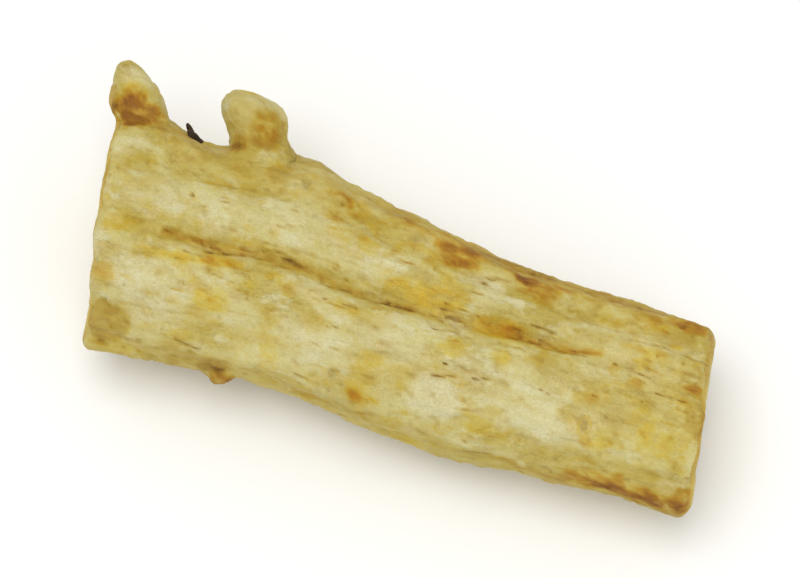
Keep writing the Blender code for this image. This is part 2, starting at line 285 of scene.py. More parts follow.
# The marks of each tint that the camera sees come first, from the crown end to the lower end, and
# then those that it doesn't. A blot's row holds its along, across, length and width, and a
# streak's its path and width, followed by as many of the other values as aren't the usual ones.
BLOTS = (
    *marks(
        Blot, Tint.GOLD,
        (-0.7, 8.4, 0.7, 0.7, 0.35), (0.7, 1.45, 0.9, 0.6, 0.18), (2, -4.95, 1.2, 0.7, 0.5),
        (6.5, -1.2, 0.85, 0.65, 0.75), (6.75, 8.5, 0.65, 0.85), (12.55, 5.75, 0.7, 0.5, 0.6),
        (13.75, 4.05, 0.6, 0.5, 0.55), (15.6, -3.8, 1, 0.6, 0.55), (17.6, 2.35, 1.8, 0.8, 0.85),
        (18.2, 4.1, 1.2, 0.8, 0.35), (21.6, 1.65, 1.9, 0.6), (30, 0.4, 4.5, 3.6, 0.12, 0, 1.4),
        (31.6, -1.7, 1.1, 0.9, 0.35),
    ),
    *marks(
        Blot, Tint.OCHRE,
        (-1.2, 7.3, 0.6, 0.7, 0.8), (-0.5, 7.6, 1.6, 1.3, 0.35, 0, 0.9, 0.55, 0.5),
        (0.7, 4.3, 1.5, 0.9, 0.58, 0, 1.2), (1.4, -4.15, 1.3, 1.5, 0.88, -0.12, 0.25, 0.22, 0.4),
        (1.6, 1.4, 1.5, 0.5, 0.36), (3.1, 6.2, 2.4, 0.9, 0.7, 0, 1.2), (5.9, -2, 0.8, 0.45, 0.45),
        (6.1, 5.9, 1.1, 0.45, 0.35), (6.4, 8.7, 2, 1.7, 0.4, 0, 0.9, 0.55, 0.5),
        (6.8, 8.45, 0.9, 1.2, 0.9, -0.05, 0.6, 0.4), (6.9, -4.5, 2, 0.5, 0.8),
        (7.55, -4.25, 0.8, 0.5, 0.75), (8.15, -5, 0.6, 0.6, 0.95), (8.2, 6.35, 0.9, 0.6, 0.6),
        (8.55, 6.6, 1.1, 0.6, 0.5), (9, 1.9, 7, 0.9, 0.25, 0, 1.2), (9.65, -1.65, 0.5, 0.9, 0.6),
        (11.3, 6.1, 2.2, 0.9, 0.55, 0, 1.2), (11.8, 5.9, 0.8, 0.6, 0.7, 0.05),
        (13.8, 5.4, 1.9, 0.5, 0.55), (14.3, 0.45, 0.9, 0.35, 0.45), (15.45, -2.7, 0.8, 0.5, 0.65),
        (17.3, -2.05, 0.8, 0.35, 0.45), (18.5, 5.6, 6, 1.3, 0.5, 0, 1.4),
        # the first blot below, on the far edge, is partly ochre skin and partly painted shade
        (22, 4.9, 3.5, 0.7, 0.45, 0, 1.2), (22.55, -2.6, 0.45, 0.35, 0.45),
        (22.95, -3.9, 0.7, 0.4, 0.6), (24.5, 3.6, 2, 1, 0.45), (27.5, -0.25, 0.9, 0.7, 0.55),
        (29.2, 4.3, 3.2, 0.9, 0.45), (29.2, -2.2, 0.75, 0.6, 0.6),
        (30.8, -4.9, 4, 1.5, 0.5, 0, 1.4), (31.2, -0.6, 1.8, 2.4, 0.16),
        (32.1, 2.6, 0.9, 0.7, 0.55), (32.9, -2.5, 0.6, 0.55, 0.75), (33.2, 0.3, 0.7, 1.3, 0.75),
    ),
    *marks(
        Blot, Tint.RUST,
        (-0.4, 7.35, 1.15, 0.95, 0.9, -0.08, 0.6, 0.4, 0.5), (-0.4, 8.15, 0.6, 0.6, 0.75, -0.05),
        (0.75, 7.5, 0.55, 0.5, 0.6), (2.7, 6.75, 0.8, 0.3, 0.3),
        (3.7, 1.75, 0.75, 0.32, 0.18, -0.08), (4.6, 4.8, 0.55, 0.3, 0.35, -0.05),
        (5.5, 7.35, 0.6, 0.6, 0.35), (6.45, -1.1, 0.25, 0.2, 0.35), (6.75, 8.2, 0.5, 0.5, 0.3),
        (8.15, -4.95, 0.6, 0.5, 0.9, 0.3, 0.8, 0.3), (9.65, -1.7, 0.2, 0.6, 0.35),
        (15.55, -3.95, 0.95, 0.6, 0.52, -0.05), (18.3, 4.95, 1.3, 0.95, 0.85, -0.04),
        (18.6, 5.7, 1.6, 0.4, 0.4), (21.6, 1.7, 1.5, 0.45, 0.18, 0, 0.9, 0.55, 0.5),
        (22.42, 4.65, 0.55, 0.75, 1, -0.08), (22.5, 1.75, 0.65, 0.42, 0.5, 0, 0.7),
        (23.55, 4.2, 0.8, 0.5, 0.5), (24.5, 5, 5, 0.8, 0.3, 0, 1.4),
        (27.45, -0.3, 0.35, 0.25, 0.35), (29.2, 4.25, 0.9, 0.4, 0.35),
        (29.2, -2.25, 0.25, 0.22, 0.4), (31, -4.7, 3.5, 0.7, 0.4, 0, 1.2),
        (31.7, 4.8, 1.1, 0.45, 0.5), (32.4, 0.9, 0.35, 0.25, 0.4), (32.6, 1.6, 0.45, 0.3, 0.6),
        (33.65, -4.05, 0.45, 0.55, 0.6),
    ),
    *marks(
        Blot, Tint.UMBER,
        (-1.5, 7.2, 0.22, 0.8, 0.4), (-0.55, 6.85, 0.8, 0.35, 0.16),
        (2.8, -4.5, 0.3, 0.18, 0.55, -0.05), (3.9, 3.98, 0.12, 0.1, 0.6),
        (5.45, 7.4, 0.4, 0.55, 0.5, -0.06), (5.8, -3.95, 0.6, 0.12, 0.55, -0.08),
        (6.4, 8.9, 1.9, 1.5, 0.1, 0, 0.9, 0.55, 0.5), (7.2, -4.7, 1.2, 0.3, 0.4),
        (7.55, -4.3, 0.6, 0.35, 0.22), (8, -4.6, 0.3, 0.2, 0.2),
        (8.2, 7.85, 0.2, 0.45, 0.4, -0.05), (11.78, 5.72, 0.18, 0.12, 0.6, -0.12),
        (13.1, 1.95, 0.14, 0.09, 0.65), (15.25, -4.35, 0.35, 0.22, 0.22, -0.05),
        (19.45, -0.9, 0.13, 0.1, 0.8, -0.05), (20.95, -2.45, 0.12, 0.12),
        (22.35, 4.75, 0.3, 0.32, 0.3, -0.04), (25.6, 5.1, 2.6, 0.35, 0.22),
        (28.2, 1.7, 0.12, 0.09, 0.6), (30.25, 2.8, 0.12, 0.09, 0.6),
        (31.65, 2.75, 0.12, 0.09, 0.6),
    ),
    *marks(
        Blot, Tint.CHALK,
        (-0.85, 9.2, 0.7, 0.6, 0.5), (-0.45, 5.35, 0.8, 0.45, 0.5), (1.8, -1, 1.6, 1, 0.45),
        (1.9, 3.5, 1.7, 1.2, 0.45), (3, -1.2, 3.5, 1.8, 0.35, 0, 1.4), (3.6, -2.6, 1.3, 0.7, 0.4),
        (4.6, 6.6, 0.6, 0.5, 0.6), (5.6, 9.6, 0.55, 0.4, 0.35), (10.5, 3.6, 4.5, 1, 0.35, 0, 1.4),
        (11.9, -1.7, 1.2, 0.9, 0.45), (12.4, -4.4, 0.9, 0.5, 0.4), (12.5, -2, 5, 1.6, 0.3, 0, 1.4),
        (13.4, 4.2, 0.8, 0.6, 0.3), (14.85, 3.35, 1, 0.6, 0.55), (16.5, -0.6, 1.6, 0.6, 0.35),
        (17.5, 2.4, 1.5, 0.8, 0.55), (19.1, 3.9, 0.7, 0.6, 0.4), (19.3, 1.7, 1.1, 0.6, 0.45),
        (19.4, -2.8, 1.4, 1.25, 0.7, 0.05, 0.7, 0.35, 0.4), (20.2, -0.8, 1.2, 0.8, 0.35),
        (20.4, 3.8, 1, 0.75, 0.6), (25.2, -1.8, 1.1, 0.7, 0.5),
        (25.5, -1.6, 4.5, 1.7, 0.45, 0, 1.4), (26.5, 3.3, 1.2, 0.4, 0.25),
        (27.5, 1.2, 1.2, 0.6, 0.3), (29.2, 1.7, 3.2, 1.3, 0.3, 0, 1.4), (29.6, 1.9, 1.6, 0.8, 0.3),
        (30.2, 3.5, 2.2, 0.7, 0.4), (32.7, -3.85, 0.5, 0.45, 0.55),
    ),
    *marks(
        Blot, Tint.OCHRE,
        (14, 262, 2.4, 1.3, 0.55), (21.5, 226, 1.6, 1, 0.75), (29, 5, 2, 1, 0.65), side=Side.ROUND,
    ),
    *marks(
        Blot, Tint.RUST,
        (9.5, 316, 0.85, 0.7, 0.8, -0.05), (17.5, 345, 0.75, 0.5, 0.8),
        (27, 318, 0.8, 0.6, 0.75, -0.05), side=Side.ROUND,
    ),
    *marks(
        Blot, Tint.CHALK,
        (7.5, 252, 2.2, 1.4, 0.65), (12.5, 352, 1.8, 0.9, 0.5), (21, 15, 1.6, 0.9, 0.45),
        (24.5, 275, 2.6, 1.2, 0.55), side=Side.ROUND,
    ),
)
STREAKS = (
    *marks(
        Streak, Tint.GOLD,
        (((1.9, 0.25), (4.5, 0.6), (7.3, 1.05)), 0.4),
    ),
    *marks(
        Streak, Tint.OCHRE,
        (((27.3, 2), (30.2, 1.5), (33, 1.4)), 0.4, 0.2),
        (((28.4, 3.8), (29.4, 2.8), (30.2, 2)), 0.25, 0.45),
    ),
    *marks(
        Streak, Tint.RUST,
        (((3, 1.55), (5, 1.62), (7.4, 1.75)), 0.3, 0.4, 0.05),
        (((8.6, 1.8), (11, 1.82), (14, 1.34), (17, 1.4)), 0.28, 0.25, 0.03),
        (((10.9, 6.15), (11.5, 6.22), (12, 6.05), (12.25, 5.65)), 0.24, 0.6, 0.04),
        # the next line runs along the far edge: rust skin, partly painted shade
        (((15, 5.9), (17.5, 5.6), (20.5, 5.05), (24, 4.8), (28, 4.75), (33, 4.85)), 0.55, 0.45),
        (((23.2, 1.62), (25.4, 1.66), (27.3, 2)), 0.3, 0.55, 0.06),
        (((24, -4.9), (27, -5), (30.4, -4.8)), 0.3, 0.3),
        # the next line darkens the near rim of the lower end: brown skin, partly a painted contact
        # shadow from another root
        (((27.6, -4.7), (31, -4.65), (33.7, -4.6)), 0.62, 0.85),
    ),
    *marks(
        Streak, Tint.UMBER,
        (((4.2, 1.7), (6.6, 1.5), (8.9, 1.86)), 0.13, 0.6, 0.1, 0.3),
        (((5.2, -3.75), (5.9, -3.95), (6.6, -3.95)), 0.1, 0.6, 0.06),
        (((8.2, 2.55), (10.6, 2.7), (12.8, 2.2)), 0.1, 0.45, 0.04, 0.65),
        (((8.6, 1.82), (10, 2), (11, 1.86), (12.4, 1.55), (14, 1.37),
          (16.2, 1.4)), 0.15, 0.5, 0.12, 0.2), (((10.6, 0.95), (12.6, 0.7)), 0.09, 0.4, 0.04, 0.6),
        # the next line runs along the far edge: umber skin, partly painted shade
        (((13, 6.1), (17.5, 5.75), (20.5, 5.25), (24, 5), (28, 4.95), (33, 5)), 0.38, 0.3),
        (((15, 1.38), (16.8, 1.38), (18.7, 1.46)), 0.16, 0.48, 0.08, 0.3),
        (((18.5, 1.46), (20.2, 1.66)), 0.12, 0.42, 0.08, 0.25),
        (((18.9, -1.7), (20.2, -1.32)), 0.08, 0.55, 0.05),
        (((19.1, 1.18), (19.9, 0.9), (20.7, 0.71)), 0.09, 0.45, 0, 0.5),
        (((21.1, -1.2), (22, -0.95)), 0.08, 0.5, 0.05),
        (((23.3, 2.43), (24, 2.42), (24.7, 2.36)), 0.1, 0.75, 0.08),
        (((27.6, 1.95), (30.2, 1.5)), 0.09, 0.3, 0.06, 0.4),
        (((28, 3.2), (30.5, 3.35), (33, 3.1)), 0.1, 0.4, 0.08, 0.2),
        # the next line darkens the near rim of the lower end: brown skin, partly a painted contact
        # shadow from another root
        (((28.8, -4.85), (31.5, -4.8), (33.7, -4.75)), 0.42, 0.38),
        (((29.5, 2.45), (31.5, 2.35), (33.2, 2.25)), 0.09, 0.35, 0.08, 0.2),
        (((29.8, 0.55), (31.6, 0.35), (33.4, 0.35)), 0.09, 0.3, 0.06, 0.2),
    ),
    *marks(
        Streak, Tint.RUST,
        (((20, 343), (25, 345), (31, 349)), 0.28, 0.55, 0.08, 0.2), side=Side.ROUND,
    ),
    *marks(
        Streak, Tint.UMBER,
        (((3, 206), (8, 203), (13, 200)), 0.12, 0.5, 0.12, 0.4),
        (((6, 304), (12, 301), (19, 299)), 0.14, 0.65, 0.15, 0.35),
        (((14, 242), (21, 244), (29, 246)), 0.14, 0.6, 0.15, 0.4), side=Side.ROUND,
    ),
)
CHECKS = (
    Checks(((2.5, 1.3), (7.4, 1.5), (10.0, 2.0), (14.0, 1.4), (20.0, 1.5)), 0.75, 44, 5),
    Checks(((20.0, 1.7), (26.0, 1.9), (33.0, 1.6)), 0.9, 20, 6),
    Checks(((2.0, -2.0), (14.0, -1.5), (33.0, -1.5)), 4.0, 34, 8),
    Checks(((2.0, 4.0), (14.0, 4.0), (33.0, 3.4)), 2.0, 22, 9),
)
SCARS = (
    Scar(11.85, 48.0, 0.62, 0.3), Scar(18.3, 46.0, 0.5, 0.18), Scar(27.0, 318.0, 0.62, 0.85),
    Scar(9.5, 316.0, 0.7, 0.85), Scar(21.5, 226.0, 0.6), Scar(4.5, 222.0, 0.5),
    Scar(31.0, 200.0, 0.45), Scar(17.5, 345.0, 0.52, 0.85), Scar(29.8, 131.0, 0.42, 0.35),
    Scar(16.2, 152.0, 0.55, 0.25),
)
SCRAPS = (
    Scrap(3.32, 6.8, 1.22, 0.23, 48.0, 0.0, 0.0, 0.9),
    Scrap(3.56, 6.77, 0.78, 0.25, 50.0, 0.0, 0.0, 0.9),
    Scrap(3.02, 6.82, 0.6, 0.22, 30.0, -25.0, 4.0, 0.8),
    Scrap(8.3, 7.5, 0.5, 0.2, 35.0, 20.0, 16.0, 0.35, 0.25),
    Scrap(31.9, 4.0, 0.6, 0.12, 66.0, 8.0, 6.0, 0.3, 0.15),
    Scrap(33.2, -3.1, 0.5, 0.12, 60.0, -12.0, -8.0, 0.3, 0.1),
    Scrap(9.5, 316.0, 0.6, 0.15, 35.0, 10.0, 14.0, 0.7, 0.8, Side.ROUND),
    Scrap(27.0, 318.0, 0.55, 0.13, -28.0, 40.0, 14.0, 0.7, 0.9, Side.ROUND),
    Scrap(17.5, 345.0, 0.5, 0.12, 42.0, -60.0, -16.0, 0.8, 0.9, Side.ROUND),
    Scrap(21.5, 226.0, 0.5, 0.13, 30.0, 15.0, 12.0, 0.8, 0.8, Side.ROUND),
    Scrap(24.0, 300.0, 0.7, 0.14, 68.0, 5.0, 8.0, 0.25, 0.1, Side.ROUND),
)


class FineSurface:
    """A fine mesh's points as arrays in millimetres, with the colours and relief to come."""

    slab: float = 1.0  # half the slice of the root whose middle a round mark is turned about
    stubs_end: float = 11.0  # millimetres from the crown end to where the stubs end
    stub_reach: float = 3.2  # millimetres that the stubs stand out beside the root

    def __init__(self, piece: bpy.types.Object, sight: Sight) -> None:
        """Reads the piece.

        Args:
            piece: The piece, whose object sits at the origin.
            sight: The camera's stand.
        """
        self.piece, self.sight = piece, sight
        mesh = piece.data
        count = len(mesh.vertices)
        points, normals = np.empty(count * 3), np.empty(count * 3)
        edges = np.empty(len(mesh.edges) * 2, np.int32)
        mesh.vertices.foreach_get("co", points)
        mesh.vertices.foreach_get("normal", normals)
        mesh.edges.foreach_get("vertices", edges)
        self.points, self.normals = points.reshape(-1, 3) / MM, normals.reshape(-1, 3)
        self.edges = edges.reshape(-1, 2)
        polygons = [tuple(polygon.vertices) for polygon in mesh.polygons]
        self.tree = BVHTree.FromPolygons([Vector(point) for point in self.points], polygons)
        self.tints = {tint: np.zeros(count) for tint in Tint}
        self.lift = np.zeros(count)

    def waves(self, *layers: Wave) -> np.ndarray:
        """Adds up layers of smooth noise over the points.

        Args:
            *layers: Each layer's height, the size of its swells along and across the root in
                millimetres, and a shift that gives it its own noise.

        Returns:
            A value at each point.
        """
        total = np.zeros(len(self.points))
        for height, along, across, shift in layers:
            placed = self.points / (along, across, across) + shift
            total += height * np.array([noise.noise(point) for point in placed.tolist()])
        return total

    def spread(self, values: np.ndarray, rounds: int) -> np.ndarray:
        """Averages values with their neighbours.

        Args:
            values: A value or a row of values at each point.
            rounds: How many times.

        Returns:
            As many averaged values.
        """
        ends, others = self.edges.T.ravel(), self.edges[:, ::-1].T.ravel()
        count = np.bincount(ends, minlength=len(values))
        flat = values.reshape(len(values), -1).copy()
        for _ in range(rounds):
            for k in range(flat.shape[1]):
                flat[:, k] = np.bincount(ends, flat[others, k], minlength=len(values)) / count
        return flat.reshape(values.shape)

    def anchor(self, side: Side, along: float, across: float) -> Vector | None:
        """Finds a place on the surface.

        Args:
            side: How the place is read.
            along: Millimetres along the root.
            across: Millimetres or degrees across it.

        Returns:
            The point in millimetres, or None where nothing is there.
        """
        if side is Side.SEEN:
            return self.tree.ray_cast(self.sight.eye / MM, self.sight.ray(along, across))[0]
        start = self.points[:, 0].min() + along
        slab = self.points[np.abs(self.points[:, 0] - start) < self.slab]
        if along < self.stubs_end:
            slab = slab[slab[:, 1] < self.points[:, 1].max() - self.stub_reach]
        middle = Vector((start, *(slab[:, 1:].min(axis=0) + slab[:, 1:].max(axis=0)) / 2))
        turn = math.radians(across)
        return self.tree.ray_cast(middle, Vector((0.0, math.cos(turn), math.sin(turn))))[0]

    def find(self, mark: Blot | Scar | Scrap) -> Vector | None:
        """Finds a mark's place, and warns where nothing is there.

        Args:
            mark: The mark.

        Returns:
            The point in millimetres, or None.
        """
        place = self.anchor(mark.side, mark.along, mark.across)
        if place is None:
            kind = type(mark).__name__.lower()
            log.warning("a %s at %.1f, %.1f misses the root", kind, mark.along, mark.across)
        return place

    def add(self, tint: Tint, amount: np.ndarray) -> None:
        """Lays a colour over what is there of the same colour."""
        self.tints[tint] = 1 - (1 - self.tints[tint]) * (1 - np.clip(amount, 0, 1))

    def store(self, name: str, values: np.ndarray) -> None:
        """Stores values on the mesh's points.

        Args:
            name: The attribute's name.
            values: A number, or three, at each point.
        """
        kind, key = ("FLOAT", "value") if values.ndim == 1 else ("FLOAT_VECTOR", "vector")
        attribute = self.piece.data.attributes.new(name, kind, "POINT")
        attribute.data.foreach_set(key, values.astype(np.float32).ravel())

    def write(self) -> None:
        """Moves the points by the relief and stores the colours on the mesh."""
        moved = self.points + self.normals * self.lift[:, None]
        moved[:, 2] = np.maximum(moved[:, 2], 0.0)
        self.piece.data.vertices.foreach_set("co", (moved * MM).ravel())
        for tint, amounts in self.tints.items():
            self.store(tint.value, amounts)
        self.piece.data.update()


@dataclass
class Marker:
    """Puts blots, streaks and scars on a fine surface.

    Noise frays the marks' edges, breaks the lines, and makes the colours thicker and thinner.
    """

    surface: FineSurface
    fray: tuple[Wave, ...] = (
        (0.7, 1.3, 0.8, 11.0), (0.5, 0.6, 0.35, 31.0), (0.3, 0.25, 0.18, 37.0)
    )
    gaps: tuple[Wave, ...] = ((1.0, 0.9, 0.4, 53.0), (0.5, 0.3, 0.2, 57.0))
    cover: tuple[Wave, ...] = ((0.8, 0.9, 0.45, 67.0), (0.4, 0.3, 0.16, 73.0))
    cover_level: float = 0.8
    cover_range: Pair = (0.25, 1.25)
    step: float = 0.5  # millimetres between the places that a line passes
    line_fray: float = 0.7
    finest: float = 0.03  # half the width of the finest line
    line_edge: Pair = (1.25, 0.15)  # half widths at which a line's colour starts and is full
    gap_edge: Pair = (-0.5, -0.05)
    faintest: float = 0.25  # of a broken line, in its gaps
    scar_shape: Triple = (0.8, 1.2, 1.2)
    scar_fray: float = 0.34
    ring: Pair = (0.85, 0.28)  # radii to the middle of a scar's ring, and its width
    pit_edge: Pair = (0.62, 0.32)
    pit_dark: float = 0.8

    def __post_init__(self) -> None:
        """Makes the noise."""
        self.rags = self.surface.waves(*self.fray)
        self.dots = self.surface.waves(*self.gaps)
        thick = self.cover_level + self.surface.waves(*self.cover)
        self.depths = np.clip(thick, *self.cover_range)

    def blot(self, blot: Blot) -> None:
        """Colours one patch.

        Args:
            blot: The patch.
        """
        place = self.surface.find(blot)
        if place is None:
            return
        away = self.surface.points - np.array(place)
        reach = (blot.length, blot.width, blot.width)
        share = np.linalg.norm(away / reach, axis=1) + self.rags * blot.ragged
        amount = ease(share, 1 + blot.edge / 2, 1 - blot.edge / 2)
        thickness = 1 + (self.depths - 1) * blot.uneven
        self.surface.add(blot.tint, amount * blot.strength * thickness)
        self.surface.lift += amount * blot.lift

    def line(self, streak: Streak) -> None:
        """Colours one line, and sinks it in where it is a crack.

        Args:
            streak: The line.
        """
        nearest = np.full(len(self.surface.points), np.inf)
        places = list(self.passed(streak))
        for start, end in zip(places, places[1:]):
            nearest = np.minimum(nearest, self.distances(start, end))
        width = np.maximum(streak.width * (1 + self.line_fray * self.rags), self.finest)
        amount = ease(nearest / width, *self.line_edge)
        if streak.broken:
            low, high = (edge + streak.broken for edge in self.gap_edge)
            amount *= self.faintest + (1 - self.faintest) * ease(self.dots, low, high)
        self.surface.add(streak.tint, amount * streak.strength * self.depths)
        self.surface.lift -= amount * streak.depth

    def passed(self, streak: Streak) -> Iterator[np.ndarray]:
        """Finds the points that a line passes, a short step apart.

        Args:
            streak: The line.

        Yields:
            Its points on the surface.
        """
        for start, end in zip(streak.path, streak.path[1:]):
            steps = max(2, math.ceil((end[0] - start[0]) / self.step))
            for along, across in np.linspace(start, end, steps + 1):
                place = self.surface.anchor(streak.side, along, across)
                if place is not None:
                    yield np.array(place)

    def distances(self, start: np.ndarray, end: np.ndarray) -> np.ndarray:
        """Measures how far each point of the surface is from a short line.

        Args:
            start: One end of the line.
            end: Its other end.

        Returns:
            The distances in millimetres.
        """
        run = end - start
        away = self.surface.points - start
        share = np.clip(away @ run / max(float(run @ run), 1e-9), 0, 1)
        return np.linalg.norm(away - share[:, None] * run, axis=1)

    def scar(self, scar: Scar) -> None:
        """Makes the ring and the pit that a rootlet left.

        Args:
            scar: The scar.
        """
        place = self.surface.find(scar)
        if place is None:
            return
        away = (self.surface.points - np.array(place)) / (scar.radius * np.array(self.scar_shape))
        share = np.linalg.norm(away, axis=1) + self.rags * self.scar_fray
        ring = np.exp(-(((share - self.ring[0]) / self.ring[1]) ** 2))
        pit = ease(share, *self.pit_edge)
        self.surface.add(Tint.RUST, ring * scar.strength * self.depths)
        self.surface.add(Tint.UMBER, pit * scar.strength * self.pit_dark)
        self.surface.lift += ring * scar.lift - pit * scar.pit


@dataclass(frozen=True)
class Stain:
    """The light that a stain lets through, and how thick it is where each colour shows."""

    thin: Colour
    middle: Colour
    thick: Colour
    thin_at: float = 0.3
    middle_at: float = 0.62


@dataclass(frozen=True)
class RootFinish:
    """The colours of the dry root, and how it takes the light."""

    cream: Colour = linear(203, 192, 127)
    straw: Colour = linear(189, 172, 90)
    yellow: Colour = linear(197, 171, 52)
    milk: Colour = linear(208, 203, 158)
    tan: Colour = linear(174, 147, 72)
    blush: Colour = linear(196, 168, 114)
    fibre: Colour = linear(158, 135, 70)
    chalk: Colour = linear(216, 210, 170)
    wood: Colour = linear(208, 182, 108)
    bark: Colour = linear(214, 202, 150)
    shade: Colour = linear(238, 235, 228)  # the light that the grain's low places keep
    gold: Stain = Stain(linear(254, 246, 196), linear(253, 234, 142), linear(250, 222, 96))
    ochre: Stain = Stain(linear(250, 245, 216), linear(240, 226, 172), linear(222, 203, 144))
    rust: Stain = Stain(linear(248, 234, 180), linear(233, 196, 108), linear(196, 148, 74))
    umber: Stain = Stain(linear(232, 218, 182), linear(172, 148, 100), linear(112, 88, 54))
    roughness: float = 0.62
    roughest: float = 0.16  # on top of the roughness, in patches
    specular: float = 0.32
    glow: float = 0.12  # light that enters the flesh and comes out again
    glow_reach: Triple = (1.0, 0.62, 0.28)
    glow_depth: float = 0.0006
    bump: float = 0.12  # millimetres of the finest relief, for which the mesh is too coarse
    bump_strength: float = 0.55


class Bench:
    """A material's nodes, laid out one at a time."""

    def __init__(self, name: str) -> None:
        """Starts a material with a shader and the object's coordinates.

        Args:
            name: The material's name.
        """
        self.material = bpy.data.materials.new(name)
        self.material.use_nodes = True
        self.nodes = self.material.node_tree.nodes
        self.shader = self.nodes["Principled BSDF"]
        self.place = self.nodes.new("ShaderNodeTexCoord").outputs["Object"]

    def feed(self, sockets: bpy.types.NodeInputs, values: dict[str | int, object]) -> None:
        """Links sockets, or sets their values.

        Args:
            sockets: A node's inputs.
            values: A socket or a value for each input, by its name or number.
        """
        for name, value in values.items():
            if isinstance(value, Socket):
                self.material.node_tree.links.new(value, sockets[name])
            else:
                sockets[name].default_value = value

    def add(self, kind: str, values: dict[str | int, object], **settings: str) -> bpy.types.Node:
        """Adds a node.

        Args:
            kind: Its type's name in Blender, without the part that all share.
            values: A socket or a value for each input, by its name or number.
            **settings: Its settings.

        Returns:
            The node.
        """
        node = self.nodes.new("ShaderNode" + kind)
        for name, setting in settings.items():
            setattr(node, name, setting)
        self.feed(node.inputs, values)
        return node

    def cloud(
        self, size: Triple, detail: float, rough: float, shift: float, lean: Triple = (0, 0, 0)
    ) -> Socket:
        """Adds noise on the object's coordinates.

        Args:
            size: Size of its swells along X, Y and Z, in millimetres.
            detail: How many finer layers it has.
            rough: How strong they are.
            shift: Moves it, so that each use has its own.
            lean: Degrees that it is turned about X, Y and Z.

        Returns:
            A value that is mostly from 0.25 to 0.75.
        """
        turn, scale = [math.radians(angle) for angle in lean], [length * MM for length in size]
        values = {"Vector": self.place, "Rotation": turn, "Scale": scale}
        mapping = self.add("Mapping", values, vector_type="TEXTURE")
        return self.noise(mapping.outputs["Vector"], detail, rough, shift)

    def noise(self, place: Socket, detail: float, rough: float, shift: float) -> Socket:
        """Adds noise on any coordinates, otherwise as a cloud is."""
        values = {"Vector": place, "W": shift, "Scale": 1.0, "Detail": detail, "Roughness": rough}
        return self.add("TexNoise", values, noise_dimensions="4D").outputs["Fac"]

    def span(self, value: Socket, low: float, high: float, top: float = 1.0) -> Socket:
        """Eases a value from 0 at the low one to the top at the high one."""
        values = {"Value": value, "From Min": low, "From Max": high, "To Min": 0.0, "To Max": top}
        return self.add("MapRange", values, interpolation_type="SMOOTHSTEP").outputs["Result"]

    def calc(self, kind: str, first: object, second: object) -> Socket:
        """Joins two sockets or numbers by the operation of that name."""
        return self.add("Math", {0: first, 1: second}, operation=kind).outputs["Value"]

    def gap(self, value: Socket, level: float) -> Socket:
        """Measures how far a value is from a level, to either side."""
        return self.calc("ABSOLUTE", self.calc("SUBTRACT", value, level), 0.0)

    def scaled(self, vector: Socket, factors: Triple) -> Socket:
        """Multiplies a vector's parts, each by its own number."""
        node = self.add("VectorMath", {0: vector, 1: factors}, operation="MULTIPLY")
        return node.outputs["Vector"]

    def mix(self, amount: object, under: object, over: object, kind: str = "MIX") -> Socket:
        """Lays one colour over another, by the blend of that name in Blender."""
        values = {"Factor": amount, 6: under, 7: over}
        return self.add("Mix", values, data_type="RGBA", blend_type=kind).outputs[2]

    def stained(self, amount: Socket, colour: Socket, stain: Stain) -> Socket:
        """Lets a stain filter the colour under it.

        Args:
            amount: How thick the stain is, from 0 to 1.
            colour: The colour under it.
            stain: The stain.

        Returns:
            The stained colour.
        """
        ramp = self.add("ValToRGB", {"Fac": amount})
        stops = ramp.color_ramp.elements
        stops[0].color, stops[1].color = WHITE, stain.thick
        stops.new(stain.thin_at).color = stain.thin
        stops.new(stain.middle_at).color = stain.middle
        return self.mix(1.0, colour, ramp.outputs["Color"], "MULTIPLY")

    def stored(self, name: str, output: str = "Fac") -> Socket:
        """Reads an attribute of the mesh."""
        return self.add("Attribute", {}, attribute_name=name).outputs[output]

    def bump(self, height: Socket, strength: float, distance: float) -> Socket:
        """Makes relief that is finer than the mesh, and gives the normals that show it."""
        values = {"Height": height, "Strength": strength, "Distance": distance}
        return self.add("Bump", values).outputs["Normal"]


@dataclass(frozen=True)
class Flecks:
    """Small flecks and pores over the whole skin, and blotches near its lower end."""

    seed: int = 7
    count: int = 190
    tints: tuple[Tint, ...] = (
        Tint.GOLD, Tint.OCHRE, Tint.OCHRE, Tint.RUST, Tint.UMBER, Tint.CHALK
    )
    length: Pair = (0.25, 0.80)  # each pair is the least and the most
    pore_length: Pair = (0.12, 0.24)  # of the umber ones
    slimness: Pair = (0.45, 1.0)
    strength: Pair = (0.30, 0.60)
    along: Pair = (1.0, 33.3)
    end_count: int = 60
    end_tints: tuple[Tint, ...] = (Tint.GOLD, Tint.OCHRE, Tint.RUST)
    end_length: Pair = (0.30, 0.60)
    end_slimness: Pair = (0.5, 0.9)
    end_strength: Pair = (0.25, 0.50)
    end: float = 33.6  # millimetres along the root from which they grow rarer
    end_reach: float = 5.0
    end_crowding: float = 1.5

    def blots(self) -> Iterator[Blot]:
        """Scatters them.

        Yields:
            Each fleck.
        """
        chance = random.Random(self.seed)
        for _ in range(self.count):
            tint = chance.choice(self.tints)
            length = chance.uniform(*(self.pore_length if tint is Tint.UMBER else self.length))
            width = length * chance.uniform(*self.slimness)
            strength = chance.uniform(*self.strength)
            along, turn = chance.uniform(*self.along), chance.uniform(0, 360)
            yield Blot(tint, along, turn, length, width, strength, side=Side.ROUND)
        for _ in range(self.end_count):
            tint = chance.choice(self.end_tints)
            length = chance.uniform(*self.end_length)
            width = length * chance.uniform(*self.end_slimness)
            along = self.end - self.end_reach * chance.random() ** self.end_crowding
            turn, strength = chance.uniform(0, 360), chance.uniform(*self.end_strength)
            yield Blot(tint, along, turn, length, width, strength, side=Side.ROUND)


